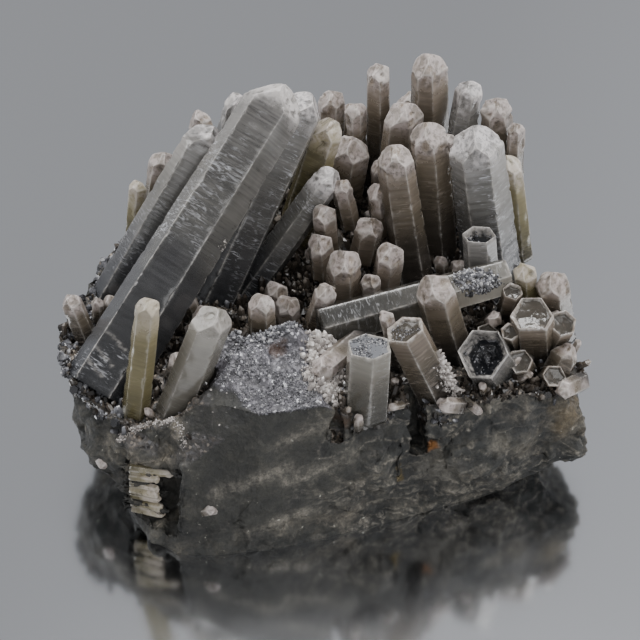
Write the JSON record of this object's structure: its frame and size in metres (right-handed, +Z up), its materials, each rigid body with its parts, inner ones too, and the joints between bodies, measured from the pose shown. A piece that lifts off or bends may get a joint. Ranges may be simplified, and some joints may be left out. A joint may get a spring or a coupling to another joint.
{
  "type": "morion quartz cluster",
  "caption": "Hand specimen of smoky quartz: prismatic crystals with pyramid tips stand and lie round a hollow on a broken block of dark rock, cut flat below.",
  "frame": {"origin": "middle of the bounding box, on the flat cut that the block of rock rests on", "axes": "+X to the right along the broken front, +Y from the front to the thicket at the back, +Z up"},
  "size_m": [0.1094, 0.0966, 0.0713],
  "materials": {
    "host_rock": "broken rock, rough, with a fine sparkle of small quartz grains on its upper side",
    "smoky_quartz": "natural prism faces with fine cross lines, frosted towards the tip",
    "brown_quartz": "natural prism faces with fine cross lines, pale frosted tips",
    "amber_quartz": "olive to amber and see-through, pale frosted tips",
    "pale_quartz": "nearly clear grey with sparkling broken ends"
  },
  "bodies": {
    "root": {"matrix": "host_rock", "hollow_crystals": "brown_quartz", "great_crystal": "smoky_quartz", "great_companion": "smoky_quartz", "left_long_crystal": "smoky_quartz", "left_dark_crystal": "smoky_quartz", "left_small_crystal": "amber_quartz", "leaning_crystal": "smoky_quartz", "olive_crystal": "amber_quartz", "amber_crystal": "amber_quartz", "blunt_crystal": "pale_quartz", "right_great_crystal": "smoky_quartz", "right_tall_crystal": "brown_quartz", "right_leaning_crystal": "brown_quartz", "right_edge_crystal": "amber_quartz", "back_middle_crystal": "brown_quartz", "back_left_tall_crystal": "brown_quartz", "back_low_crystal": "brown_quartz", "back_wide_crystal": "brown_quartz", "back_left_crystal": "brown_quartz", "back_left_thin_crystal": "brown_quartz", "back_slanted_crystal": "smoky_quartz", "back_right_crystal": "brown_quartz", "back_thin_crystal": "brown_quartz", "back_corner_crystal": "brown_quartz", "back_short_crystal": "brown_quartz", "bar_post_crystal": "brown_quartz", "rim_silver_stub": "pale_quartz", "rim_olive_stub": "brown_quartz", "rim_dark_stub": "smoky_quartz", "rim_right_stub": "brown_quartz", "rim_thin_needle": "brown_quartz", "right_rim_crystal": "brown_quartz", "right_rim_pair": "amber_quartz", "right_rim_wedge": "brown_quartz", "hollow_front_crystal": "brown_quartz", "left_front_chip": "brown_quartz", "left_back_crystal": "brown_quartz", "left_middle_crystal": "brown_quartz", "right_broken_crystal": "smoky_quartz", "back_far_left_crystal": "brown_quartz", "back_outer_crystal": "brown_quartz", "back_outer_short_crystal": "brown_quartz", "back_outer_leaning_crystal": "brown_quartz", "fallen_bar_crystal": "pale_quartz"}
  },
  "joints": []
}
